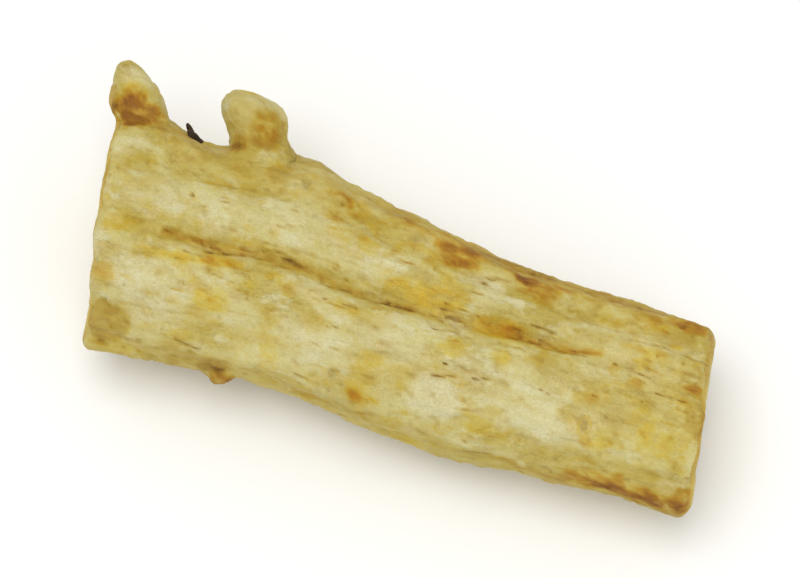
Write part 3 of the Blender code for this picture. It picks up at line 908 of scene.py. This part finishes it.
@dataclass
class RootSkin:
    """The whole root in fine detail, in place of the plain solid."""

    sight: Sight
    finish: RootFinish = RootFinish()
    weld: float = 0.002  # millimetres within which the solid's loose corners meet
    quad_bend: float = 50.0  # degrees up to which two triangles become one face
    quad_skew: float = 60.0
    levels: int = 2
    cut_depth: float = 3.6  # millimetres from an end within which its cut face lies
    cut_facing: Pair = (0.62, 0.82)  # how far a face looks along the root where it is cut
    stub_side: float = 5.6  # millimetres along Y past which the crown's end isn't cut
    swell: Wave = (0.14, 2.2, 1.5, 5.0)
    fold: Wave = (0.10, 4.0, 1.1, 3.0)
    lumps: tuple[Wave, ...] = ((0.085, 0.8, 0.6, 61.0), (0.051, 0.38, 0.32, 65.0))
    pucker: Wave = (0.05, 0.45, 1.6, 41.0)
    pucker_patch: Wave = (2.0, 3.0, 3.0, 47.0)
    wrinkle: float = 0.06
    wrinkle_wave: Wave = (2.0, 2.0, 0.5, 17.0)
    wrinkle_patch: Wave = (1.0, 4.0, 2.6, 29.0)
    wrinkle_edge: Pair = (-0.25, 0.35)
    wrinkle_least: float = 0.35
    pore: float = 0.07
    pore_wave: Wave = (1.0, 0.55, 0.4, 91.0)
    pore_edge: Pair = (0.38, 0.63)
    pore_dark: float = 0.16
    crease: float = 0.06
    crease_wave: Wave = (1.0, 3.6, 0.6, 97.0)
    crease_width: float = 0.13
    crease_patch: Wave = (1.0, 4.5, 2.8, 103.0)
    crease_edge: Pair = (-0.12, 0.28)
    crease_dark: float = 0.10
    hollow_rounds: int = 70
    hollow_depth: float = 0.16  # millimetres below its surroundings at which a hollow's ochre and painted shade are darkest
    flank: float = 0.48  # how much browner, as painted shade, both flanks and the underside are
    flank_rounds: int = 12
    far_flank: float = 46.0  # degrees above the level at which each flank starts
    near_flank: float = 10.0
    flank_wave: Wave = (24.0, 3.5, 2.0, 107.0)  # in degrees too, as the edge is
    flank_edge: float = 18.0
    stubs_end: float = -3.0  # millimetres along X at which the stubs' stretch ends
    stub_foot: Pair = (5.2, 6.0)  # millimetres along Y over which they leave the flank
    knife: tuple[Wave, ...] = ((0.05, 1.6, 1.1, 83.0), (0.03, 0.5, 0.4, 87.0))
    chip: float = 0.12  # out of the cuts' rims
    chip_rounds: int = 6
    chip_wave: Wave = (2.2, 0.9, 0.7, 113.0)
    chip_edge: Pair = (-0.2, 0.8)
    crack_seed: int = 12
    crack_count: int = 11
    crack_depth: float = 0.14
    crack_stray: Wave = (0.16, 1.2, 1.2, 71.0)
    crack_start: Pair = (0.05, 0.62)  # at least and at most, as a share of the radius
    crack_length: Pair = (0.12, 0.42)
    crack_end: float = 0.97
    crack_taper: Pair = (0.10, 0.12)
    crack_width: Pair = (0.07, 0.13)
    crack_edge: Pair = (1.5, 0.5)  # widths from its middle at which it starts and is open
    crack_dark: Pair = (0.12, 0.35)
    surface: FineSurface = field(init=False)
    cut: np.ndarray = field(init=False)  # how much each point belongs to a cut face
    away: np.ndarray = field(init=False)  # millimetres from the middle of the end's cut face
    radius: np.ndarray = field(init=False)  # the same as a share of the cut face's size

    def build(self) -> bpy.types.Object:
        """Builds and dresses the piece.

        Returns:
            The piece, which rides on the root's body and replaces the solid.
        """
        piece = self.model()
        self.surface = FineSurface(piece, self.sight)
        self.find_cuts()
        self.find_hollows()
        self.wrinkle_skin()
        self.paint_flank_shade()
        self.crack_cuts()
        self.mark()
        self.surface.write()
        piece.data.materials.clear()
        piece.data.materials.append(self.material())
        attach(piece, BODY)
        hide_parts(NODE)
        return piece

    def model(self) -> bpy.types.Object:
        """Copies the solid, welds it and subdivides it.

        Returns:
            The smooth mesh, before its relief.
        """
        piece = bpy.data.objects.new("root_skin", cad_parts[NODE].data.copy())
        bpy.context.scene.collection.objects.link(piece)
        deselect()
        piece.select_set(True)
        bpy.context.view_layer.objects.active = piece
        bpy.ops.object.mode_set(mode="EDIT")
        bpy.ops.mesh.select_all(action="SELECT")
        bpy.ops.mesh.remove_doubles(threshold=self.weld * MM)
        bend, skew = math.radians(self.quad_bend), math.radians(self.quad_skew)
        bpy.ops.mesh.tris_convert_to_quads(face_threshold=bend, shape_threshold=skew)
        bpy.ops.object.mode_set(mode="OBJECT")
        refine(piece, self.levels)
        return piece

    def find_cuts(self) -> None:
        """Tells the two cut faces from the skin, and finds their rings and spokes."""
        points, normals = self.surface.points, self.surface.normals
        middle = (points[:, 0].min() + points[:, 0].max()) / 2
        half = (points[:, 0].max() - points[:, 0].min()) / 2
        near_end = np.abs(points[:, 0] - middle) > half - self.cut_depth
        crown = points[:, 0] < middle
        facing = np.sign(points[:, 0] - middle) * normals[:, 0]
        on_stub = crown & (points[:, 1] > self.stub_side)
        cut = ease(facing, *self.cut_facing) * near_end * ~on_stub
        spoke = np.zeros_like(points)
        self.away = np.zeros((len(points), 2))
        for end in (crown, ~crown):
            face = end & (cut > 0.5)
            low, high = points[face].min(axis=0), points[face].max(axis=0)
            away = (points - (low + high) / 2)[end, 1:]
            share = away / ((high - low) / 2)[1:]
            radius = np.maximum(np.hypot(share[:, 0], share[:, 1]), 1e-6)
            spoke[end, 0] = radius
            spoke[end, 1:] = share / radius[:, None]
            self.away[end] = away
        self.cut, self.radius = self.surface.spread(cut, 1), spoke[:, 0]
        self.surface.store("cut", self.cut)
        self.surface.store("spoke", spoke)

    def find_hollows(self) -> None:
        """Measures how deep each point lies in a furrow, or how high on a fold, for the painted
        shade in the furrows and the painted light on the folds.
        """
        surface = self.surface
        away = surface.spread(surface.points, self.hollow_rounds) - surface.points
        depth = (away * surface.normals).sum(axis=1)
        depth -= np.median(depth)
        surface.store("hollow", np.clip(depth / self.hollow_depth, -1, 1))

    def wrinkle_skin(self) -> None:
        """Raises the fine wrinkles, which run along the root, and the puckers across it."""
        waves, skin = self.surface.waves, 1 - self.cut
        folds = 1 - np.abs(waves(self.wrinkle_wave))
        patches = ease(waves(self.wrinkle_patch), *self.wrinkle_edge)
        folds *= self.wrinkle_least + (1 - self.wrinkle_least) * patches
        puckers = waves(self.pucker) * ease(waves(self.pucker_patch), 0.0, 1.0)
        relief = waves(self.swell, self.fold, *self.lumps) + self.wrinkle * folds + puckers
        pores = ease(waves(self.pore_wave), *self.pore_edge)
        creases = np.exp(-((waves(self.crease_wave) / self.crease_width) ** 2))
        creases *= ease(waves(self.crease_patch), *self.crease_edge)
        self.surface.lift += skin * (relief - self.pore * pores - self.crease * creases)
        self.surface.add(Tint.UMBER, skin * pores * self.pore_dark)
        self.surface.add(Tint.UMBER, skin * creases * self.crease_dark)

    def paint_flank_shade(self) -> None:
        """Paints shade on the flanks and the underside, deepening their colour with ochre where
        they turn away from the light.
        """
        points = self.surface.points
        normals = self.surface.spread(self.surface.normals, self.flank_rounds)
        rise = np.degrees(np.arctan2(normals[:, 2], np.hypot(normals[:, 0], normals[:, 1])))
        start = np.where(normals[:, 1] > 0, self.far_flank, self.near_flank)
        start += self.surface.waves(self.flank_wave)
        amount = ease(rise - start, self.flank_edge, -self.flank_edge) * (1 - self.cut)
        stubs = ease(points[:, 1], *self.stub_foot) * (points[:, 0] < self.stubs_end)
        # painted shade: ochre laid where the surface turns sideways or under
        self.surface.add(Tint.OCHRE, amount * (1 - stubs) * self.flank)

    def crack_cuts(self) -> None:
        """Roughens both cut faces, chips their rims and opens cracks along their rays."""
        surface = self.surface
        surface.lift += self.cut * surface.waves(*self.knife)
        worn = surface.spread(self.cut, self.chip_rounds)
        chips = ease(surface.waves(self.chip_wave), *self.chip_edge)
        surface.lift -= 4 * worn * (1 - worn) * self.chip * chips
        chance = random.Random(self.crack_seed)
        stray = surface.waves(self.crack_stray)
        crown = surface.points[:, 0] < 0
        for end in (crown, ~crown):
            for _ in range(self.crack_count):
                turn = chance.uniform(0, math.tau)
                inner = chance.uniform(*self.crack_start)
                outer = min(inner + chance.uniform(*self.crack_length), self.crack_end)
                width = chance.uniform(*self.crack_width)
                across = np.abs(self.away @ (-math.sin(turn), math.cos(turn)) + stray)
                ahead = self.away @ (math.cos(turn), math.sin(turn)) > 0
                reach = ease(self.radius, inner, inner + self.crack_taper[0])
                reach *= ease(self.radius, outer, outer - self.crack_taper[1])
                amount = end * ahead * self.cut * reach
                amount *= ease(across / width, *self.crack_edge)
                surface.lift -= amount * self.crack_depth
                surface.add(Tint.UMBER, amount * chance.uniform(*self.crack_dark))

    def mark(self) -> None:
        """Puts every stain, crack and scar on the skin."""
        marker = Marker(self.surface)
        for blot in (*BLOTS, *Flecks().blots()):
            marker.blot(blot)
        for streak in (*STREAKS, *(crack for checks in CHECKS for crack in checks.streaks())):
            marker.line(streak)
        for scar in SCARS:
            marker.scar(scar)

    def material(self) -> bpy.types.Material:
        """Makes the finish of the skin and of the cut faces.

        Returns:
            The material.
        """
        bench, look = Bench("dry_root"), self.finish
        broad = bench.cloud((4.0, 3.2, 3.2), 5.0, 0.62, 1.0)
        patchy = bench.cloud((1.5, 1.1, 1.1), 4.0, 0.6, 5.0)
        pale = bench.cloud((1.7, 1.2, 1.2), 4.0, 0.6, 9.0)
        dusty = bench.cloud((0.9, 0.7, 0.7), 4.0, 0.62, 11.0)
        rosy = bench.cloud((1.1, 0.9, 0.9), 3.0, 0.6, 12.0)
        specks = bench.cloud((0.26, 0.20, 0.20), 2.0, 0.5, 15.0)
        strands = bench.cloud((1.5, 0.22, 0.22), 4.0, 0.6, 13.0)
        threads = bench.cloud((1.4, 0.40, 0.40), 3.0, 0.6, 17.0, (0.0, 0.0, 6.0))
        grain = bench.cloud((0.16, 0.11, 0.11), 4.0, 0.7, 21.0)
        hollow = bench.stored("hollow")
        colour = look.cream
        for cloud, low, high, most, over in (
            (broad, 0.41, 0.60, 1.0, look.straw),
            (patchy, 0.51, 0.66, 0.72, look.yellow),
            (rosy, 0.54, 0.70, 0.30, look.blush),
            (dusty, 0.54, 0.70, 0.48, look.tan),
            (pale, 0.51, 0.65, 0.80, look.milk),
            (strands, 0.52, 0.72, 0.16, look.fibre),
            (specks, 0.62, 0.74, 0.35, look.fibre),
        ):
            colour = bench.mix(bench.span(cloud, low, high, most), colour, over)
        veins = bench.calc("SUBTRACT", 1.0, bench.span(bench.gap(threads, 0.5), 0.0, 0.018))
        veins = bench.calc("MULTIPLY", veins, bench.span(broad, 0.48, 0.60, 0.35))
        colour = bench.mix(veins, colour, look.fibre)
        # furrows: ochre that is partly the root's own colour and partly painted shade; folds:
        # paler as painted light
        colour = bench.stained(bench.span(hollow, 0.10, 1.0, 0.38), colour, look.ochre)
        colour = bench.mix(bench.span(hollow, -0.15, -0.9, 0.20), colour, look.milk)
        cut = bench.span(bench.stored("cut"), 0.25, 0.6)
        cut_colour, cut_height = self.cut_face(bench, grain)
        colour = bench.mix(cut, colour, cut_colour)
        fray = bench.calc("ADD", bench.calc("MULTIPLY", grain, 1.1), 0.45)
        chalky = bench.calc("MULTIPLY", bench.stored(Tint.CHALK.value), fray)
        colour = bench.mix(chalky, colour, look.chalk)
        stains = (look.gold, look.ochre, look.rust, look.umber)
        for tint, stain in zip((Tint.GOLD, Tint.OCHRE, Tint.RUST, Tint.UMBER), stains):
            amount = bench.calc("MULTIPLY", bench.stored(tint.value), fray)
            colour = bench.stained(amount, colour, stain)
        shade = bench.mix(bench.span(grain, 0.30, 0.70), look.shade, WHITE)
        rough = bench.calc("ADD", bench.span(patchy, 0.35, 0.65, look.roughest), look.roughness)
        height = bench.calc("SUBTRACT", strands, bench.calc("MULTIPLY", veins, 0.8))
        height = bench.calc("ADD", height, bench.calc("MULTIPLY", grain, 0.55))
        change = bench.calc("MULTIPLY", cut, bench.calc("SUBTRACT", cut_height, height))
        height = bench.calc("ADD", height, change)
        bench.feed(bench.shader.inputs, {
            "Base Color": bench.mix(1.0, colour, shade, "MULTIPLY"),
            "Roughness": rough,
            "Specular IOR Level": look.specular,
            "Subsurface Weight": look.glow,
            "Subsurface Radius": look.glow_reach,
            "Subsurface Scale": look.glow_depth,
            "Normal": bench.bump(height, look.bump_strength, look.bump * MM),
        })
        return bench.material

    def cut_face(self, bench: Bench, grain: Socket) -> tuple[Socket, Socket]:
        """Dresses a cut face: pale bark, a faint brown ring and yellower wood with fine rays.

        Args:
            bench: The material's nodes.
            grain: The finest noise.

        Returns:
            Its colour, and the height of its finest relief.
        """
        look, spoke = self.finish, bench.stored("spoke", "Vector")
        share = bench.add("SeparateXYZ", {"Vector": spoke}).outputs["X"]
        around = bench.noise(bench.scaled(spoke, (0.0, 1.5, 1.5)), 2.0, 0.6, 31.0)
        rays = bench.noise(bench.scaled(spoke, (1.3, 12.0, 12.0)), 3.0, 0.7, 37.0)
        splits = bench.noise(bench.scaled(spoke, (0.5, 4.5, 4.5)), 2.0, 0.5, 53.0)
        wobble = bench.cloud((1.3, 1.3, 1.3), 3.0, 0.6, 33.0)
        knife = bench.cloud((9.0, 0.16, 3.2), 2.0, 0.5, 39.0, (28.0, 0.0, 0.0))
        mottle = bench.cloud((1.1, 1.1, 1.1), 4.0, 0.65, 43.0)
        dots = bench.cloud((0.15, 0.15, 0.15), 1.0, 0.5, 47.0)
        radius = bench.calc("ADD", share, bench.calc("MULTIPLY", around, 0.34))
        radius = bench.calc("ADD", radius, bench.calc("MULTIPLY", wobble, 0.22))
        wooden = bench.span(radius, 0.98, 0.84)
        inside = bench.span(share, 0.84, 0.60, 0.55)
        open_part = bench.calc("MULTIPLY", bench.span(wobble, 0.50, 0.60), inside)
        splits = bench.span(bench.gap(splits, 0.5), 0.040, 0.012)
        splits = bench.calc("MULTIPLY", splits, open_part)
        patchy = bench.calc("ADD", bench.span(mottle, 0.36, 0.58, 0.42), 0.12)
        ring = bench.calc("MULTIPLY", bench.span(bench.gap(radius, 0.92), 0.075, 0.0), patchy)
        pores = bench.calc("MULTIPLY", bench.span(dots, 0.62, 0.76, 0.45), wooden)
        colour = bench.mix(wooden, look.bark, look.wood)
        colour = bench.mix(bench.span(rays, 0.50, 0.68, 0.50), colour, look.milk)
        for amount, stain in (
            (bench.span(rays, 0.45, 0.30, 0.50), look.ochre),
            (bench.span(mottle, 0.50, 0.70, 0.45), look.ochre),
            (splits, look.umber),
            (ring, look.rust),
            (pores, look.umber),
            (bench.span(knife, 0.50, 0.66, 0.28), look.ochre),
            (bench.span(share, 0.80, 1.00, 0.90), look.ochre),
            (bench.span(grain, 0.62, 0.40, 0.22), look.ochre),
        ):
            colour = bench.stained(amount, colour, stain)
        rays, knife = bench.calc("MULTIPLY", rays, 0.9), bench.calc("MULTIPLY", knife, 1.2)
        height = bench.calc("ADD", rays, knife)
        height = bench.calc("SUBTRACT", height, bench.calc("ADD", pores, splits))
        return colour, bench.calc("ADD", height, bench.calc("MULTIPLY", grain, 0.6))


@dataclass(frozen=True)
class ScrapFinish:
    """The colours of dead rootlet and of torn skin, and how they take the light."""

    dead: Colour = linear(52, 38, 24)
    dead_pale: Colour = linear(112, 84, 46)
    flake: Colour = linear(196, 170, 96)
    flake_edge: Colour = linear(222, 206, 150)
    roughness: float = 0.6
    roughest: float = 0.25  # on top of the roughness, in patches
    specular: float = 0.25
    bump: float = 0.03  # millimetres
    bump_strength: float = 0.5


@dataclass
class ClingingScraps:
    """The crumbs of dead rootlets and the flakes of torn skin that stand on the root."""

    skin: bpy.types.Object
    sight: Sight
    finish: ScrapFinish = ScrapFinish()
    sides: int = 9
    steps: int = 7
    levels: int = 1
    sunk: float = 0.15  # millimetres that each starts under the skin
    unevenness: float = 0.22
    taper: float = 0.97  # of each step, and of the last one
    blunt: float = 0.60
    seed: int = 3

    def build(self) -> bpy.types.Object:
        """Builds and dresses the piece.

        Returns:
            The piece, which rides on the root's body.
        """
        surface = FineSurface(self.skin, self.sight)
        chance = random.Random(self.seed)
        grown = []
        for scrap in SCRAPS:
            place = surface.find(scrap)
            if place is not None:
                normal = surface.tree.find_nearest(place)[1]
                grown.append(self.grow(scrap, place * MM, normal, chance))
        deselect()
        for crumb in grown:
            crumb.select_set(True)
        bpy.context.view_layer.objects.active = grown[0]
        bpy.ops.object.join()
        piece = bpy.context.object
        piece.name = "clinging_scraps"
        refine(piece, self.levels)
        piece.data.materials.append(self.material())
        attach(piece, BODY)
        return piece

    def grow(
        self, scrap: Scrap, place: Vector, normal: Vector, chance: random.Random
    ) -> bpy.types.Object:
        """Draws one crumb or flake out of a small disc, step by step.

        Args:
            scrap: Its measures.
            place: Where it grows, in metres.
            normal: The skin's normal there.
            chance: The seeded draw that makes its sides uneven.

        Returns:
            The crumb, closed at both ends.
        """
        deselect()
        radius, step = scrap.radius * MM, scrap.length * MM / self.steps
        bpy.ops.mesh.primitive_circle_add(vertices=self.sides, radius=radius, fill_type="NGON")
        crumb = bpy.context.object
        bpy.ops.object.mode_set(mode="EDIT")
        bpy.ops.mesh.select_all(action="SELECT")
        bpy.ops.transform.resize(value=(scrap.flatness, 1.0, 1.0))
        heading, centre = 0.0, Vector((0.0, 0.0, 0.0))
        for i in range(self.steps):
            heading += math.radians(scrap.curl)
            move = Vector((math.sin(heading), 0.0, math.cos(heading))) * step
            centre = centre + move
            bpy.ops.mesh.extrude_region_move(TRANSFORM_OT_translate={"value": move})
            uneven = 1 + self.unevenness * chance.uniform(-1, 1)
            taper = (self.taper if i < self.steps - 1 else self.blunt) * uneven
            bpy.ops.transform.resize(value=(taper, taper / uneven, taper), center_override=centre)
        bpy.ops.mesh.select_all(action="SELECT")
        bpy.ops.mesh.normals_make_consistent(inside=False)
        bpy.ops.object.mode_set(mode="OBJECT")
        shade = crumb.data.attributes.new("dark", "FLOAT", "POINT")
        shade.data.foreach_set("value", [scrap.dark] * len(crumb.data.vertices))
        turn = Matrix.Rotation(math.radians(scrap.aside), 4, "Z")
        lean = Matrix.Rotation(math.radians(scrap.lean), 4, "Y")
        aside = Vector((1.0, 0.0, 0.0)).cross(normal).normalized()
        ahead = normal.cross(aside) * -1
        stand = Matrix((ahead, ahead.cross(normal) * -1, normal)).transposed().to_4x4()
        start = place - normal * self.sunk * MM
        crumb.data.transform(Matrix.Translation(start) @ stand @ turn @ lean)
        return crumb

    def material(self) -> bpy.types.Material:
        """Makes the finish of dead brown rootlet and of torn skin.

        Returns:
            The material.
        """
        bench, look = Bench("dry_scraps"), self.finish
        mottle = bench.cloud((0.22, 0.16, 0.16), 4.0, 0.6, 3.0)
        dead = bench.mix(bench.span(mottle, 0.50, 0.72), look.dead, look.dead_pale)
        flake = bench.mix(bench.span(mottle, 0.42, 0.62), look.flake, look.flake_edge)
        rough = bench.calc("ADD", bench.span(mottle, 0.3, 0.7, look.roughest), look.roughness)
        bench.feed(bench.shader.inputs, {
            "Base Color": bench.mix(bench.stored("dark"), flake, dead),
            "Roughness": rough,
            "Specular IOR Level": look.specular,
            "Normal": bench.bump(mottle, look.bump_strength, look.bump * MM),
        })
        return bench.material


@dataclass(frozen=True)
class Studio:
    """The pale floor and the soft light."""

    floor_size: float = 3.0
    floor_gap: float = 0.02  # millimetres below the root, so that the two faces don't meet
    floor_colour: Colour = linear(247, 247, 245)
    floor_roughness: float = 0.9
    floor_specular: float = 0.1
    sky: float = 0.76
    lamp_size: float = 0.30
    key_power: float = 1.00
    key_place: Triple = (-0.07, -0.03, 0.48)
    fill_power: float = 0.20
    fill_place: Triple = (0.34, -0.26, 0.22)

    def build(self) -> None:
        """Lays the floor and hangs the lights."""
        deselect()
        below = (0.0, 0.0, -self.floor_gap * MM)
        bpy.ops.mesh.primitive_plane_add(size=self.floor_size, location=below)
        floor = bpy.context.object
        floor.name = "studio_floor"
        bench = Bench("studio_white")
        bench.feed(bench.shader.inputs, {
            "Base Color": self.floor_colour,
            "Roughness": self.floor_roughness,
            "Specular IOR Level": self.floor_specular,
        })
        floor.data.materials.append(bench.material)
        self.lamp("key_lamp", self.key_place, self.key_power)
        self.lamp("fill_lamp", self.fill_place, self.fill_power)
        world = bpy.data.worlds.new("soft_room")
        world.use_nodes = True
        sky = world.node_tree.nodes["Background"].inputs
        sky["Color"].default_value, sky["Strength"].default_value = WHITE, self.sky
        bpy.context.scene.world = world
        bpy.context.scene.view_settings.view_transform = "Standard"

    def lamp(self, name: str, place: Triple, power: float) -> None:
        """Hangs one soft lamp that shines at the root.

        Args:
            name: The lamp's name.
            place: Where it hangs, in metres.
            power: Its power in watts.
        """
        turn = (-Vector(place)).to_track_quat("-Z", "Y").to_euler()
        bpy.ops.object.light_add(type="AREA", location=place, rotation=turn)
        lamp = bpy.context.object
        lamp.name = name
        lamp.data.energy, lamp.data.size = power, self.lamp_size


def main() -> None:
    """Builds the pieces and the studio."""
    logging.basicConfig(level=logging.INFO, format="%(name)s: %(message)s")
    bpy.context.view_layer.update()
    sight = Sight()
    sight.camera()
    skin = RootSkin(sight).build()
    log.info("%s: %d faces", skin.name, len(skin.data.polygons))
    scraps = ClingingScraps(skin, sight).build()
    log.info("%s: %d faces", scraps.name, len(scraps.data.polygons))
    Studio().build()


if __name__ == "__main__":
    main()
